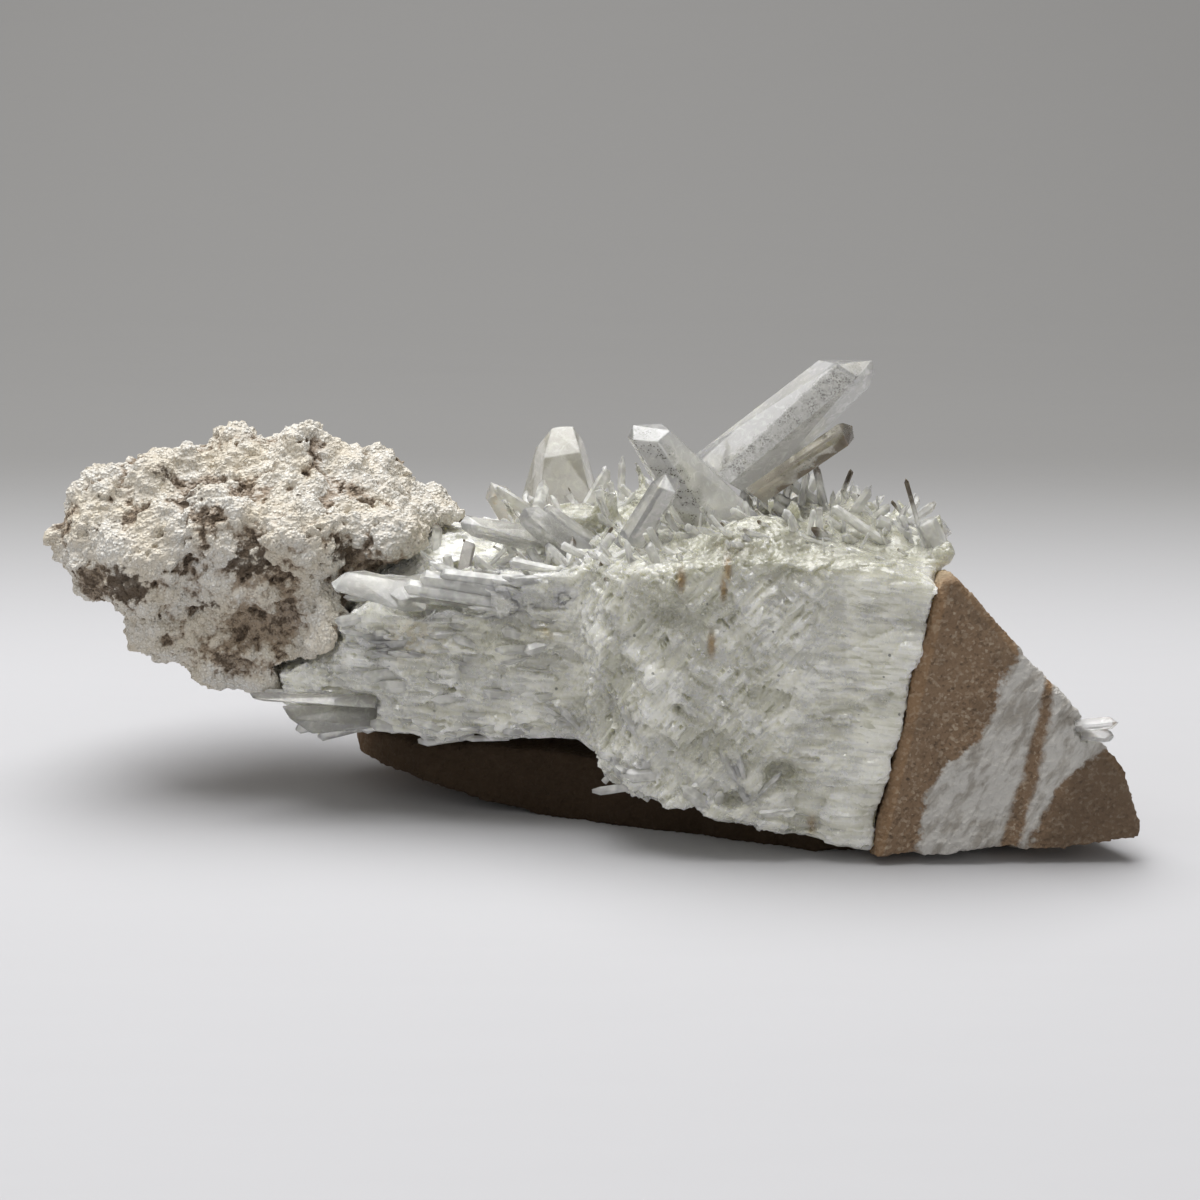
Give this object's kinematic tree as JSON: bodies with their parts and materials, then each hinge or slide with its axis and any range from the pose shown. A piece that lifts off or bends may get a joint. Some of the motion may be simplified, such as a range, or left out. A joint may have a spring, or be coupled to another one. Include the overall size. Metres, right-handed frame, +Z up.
{
  "type": "quartz on albite specimen",
  "caption": "Hand-sized mineral specimen: clear quartz crystals on a broken milky quartz vein, with a lumpy albite mass at one end and a brown sandstone host rock at the other.",
  "frame": {"origin": "middle of the flat spot on the underside that the specimen rests on", "axes": "+Z up, +X along the specimen from the albite mass to the sandstone point, -Y towards the viewer of the broken front face"},
  "size_m": [0.2054, 0.0855, 0.0865],
  "materials": {
    "clear_quartz": "clear to slightly frosted",
    "milky_quartz": "translucent, fractured",
    "sandstone": "rough, grainy",
    "albite": "rough, sugary"
  },
  "bodies": {
    "root": {"sandstone_host": "sandstone", "milky_quartz_vein": "milky_quartz", "albite_mass": "albite", "main_crystal_pair": "clear_quartz", "leaning_crystal_pair": "clear_quartz", "left_crystal_group": "clear_quartz", "back_crystal": "clear_quartz", "rusty_crystals": "clear_quartz", "lying_crystals": "clear_quartz", "fan_crystal": "clear_quartz", "lower_crystal_shards": "clear_quartz", "edge_crystals": "clear_quartz"}
  },
  "joints": []
}
